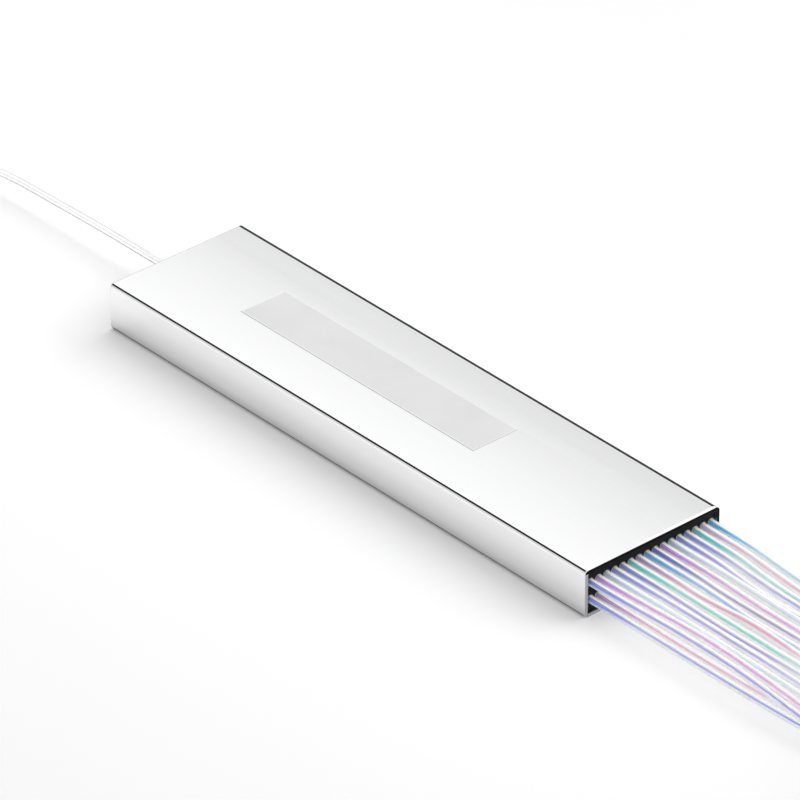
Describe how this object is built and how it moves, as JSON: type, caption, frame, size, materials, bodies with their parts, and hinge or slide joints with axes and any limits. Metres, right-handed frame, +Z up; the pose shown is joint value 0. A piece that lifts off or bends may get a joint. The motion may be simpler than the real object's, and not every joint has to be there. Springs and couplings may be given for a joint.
{
  "type": "plc fibre splitter",
  "caption": "Flat metal tube that splits one optical fibre into two rows of loose-tube output fibres, with its spare cord length coiled and tied.",
  "frame": {"origin": "middle of the housing's underside", "axes": "+X along the housing towards the output fibres, +Y across it, +Z up through the label face"},
  "size_m": [0.2605, 0.0391, 0.0166],
  "materials": {
    "housing_metal": "satin, brushed along its length",
    "label_film": "thin translucent grey film, bare",
    "end_block": "matt black, moulded",
    "silicone": "soft translucent bed",
    "array_glass": "ground and polished",
    "chip": "polished silica on silicon",
    "coated_fibre": "coloured coating",
    "loose_tube": "clear tube round a coloured fibre",
    "tie": "soft white strap"
  },
  "bodies": {
    "root": {"housing": "housing_metal", "label_film": "label_film", "output_end_block": "end_block", "input_end_block": "end_block", "device_bed": "silicone", "input_array_block": "array_glass", "input_array_lid": "array_glass", "plc_chip": "chip", "chip_lid_input": "array_glass", "chip_lid_output": "array_glass", "output_array_block": "array_glass", "output_array_lid": "array_glass", "fibre_ribbon_1": "coated_fibre", "fibre_ribbon_2": "coated_fibre", "fibre_ribbon_3": "coated_fibre", "fibre_ribbon_4": "coated_fibre", "input_fibre": "coated_fibre", "input_tube": "loose_tube", "input_coil": "loose_tube", "output_coil": "loose_tube", "output_tie_1": "tie", "output_tie_2": "tie", "input_tie": "tie", "output_tube_01": "loose_tube", "output_tube_02": "loose_tube", "output_tube_03": "loose_tube", "output_tube_04": "loose_tube", "output_tube_05": "loose_tube", "output_tube_06": "loose_tube", "output_tube_07": "loose_tube", "output_tube_08": "loose_tube", "output_tube_09": "loose_tube", "output_tube_10": "loose_tube", "output_tube_11": "loose_tube", "output_tube_12": "loose_tube", "output_tube_13": "loose_tube", "output_tube_14": "loose_tube", "output_tube_15": "loose_tube", "output_tube_16": "loose_tube", "output_tube_17": "loose_tube", "output_tube_18": "loose_tube", "output_tube_19": "loose_tube", "output_tube_20": "loose_tube", "output_tube_21": "loose_tube", "output_tube_22": "loose_tube", "output_tube_23": "loose_tube", "output_tube_24": "loose_tube", "output_tube_25": "loose_tube", "output_tube_26": "loose_tube", "output_tube_27": "loose_tube", "output_tube_28": "loose_tube", "output_tube_29": "loose_tube", "output_tube_30": "loose_tube", "output_tube_31": "loose_tube", "output_tube_32": "loose_tube"}
  },
  "joints": []
}
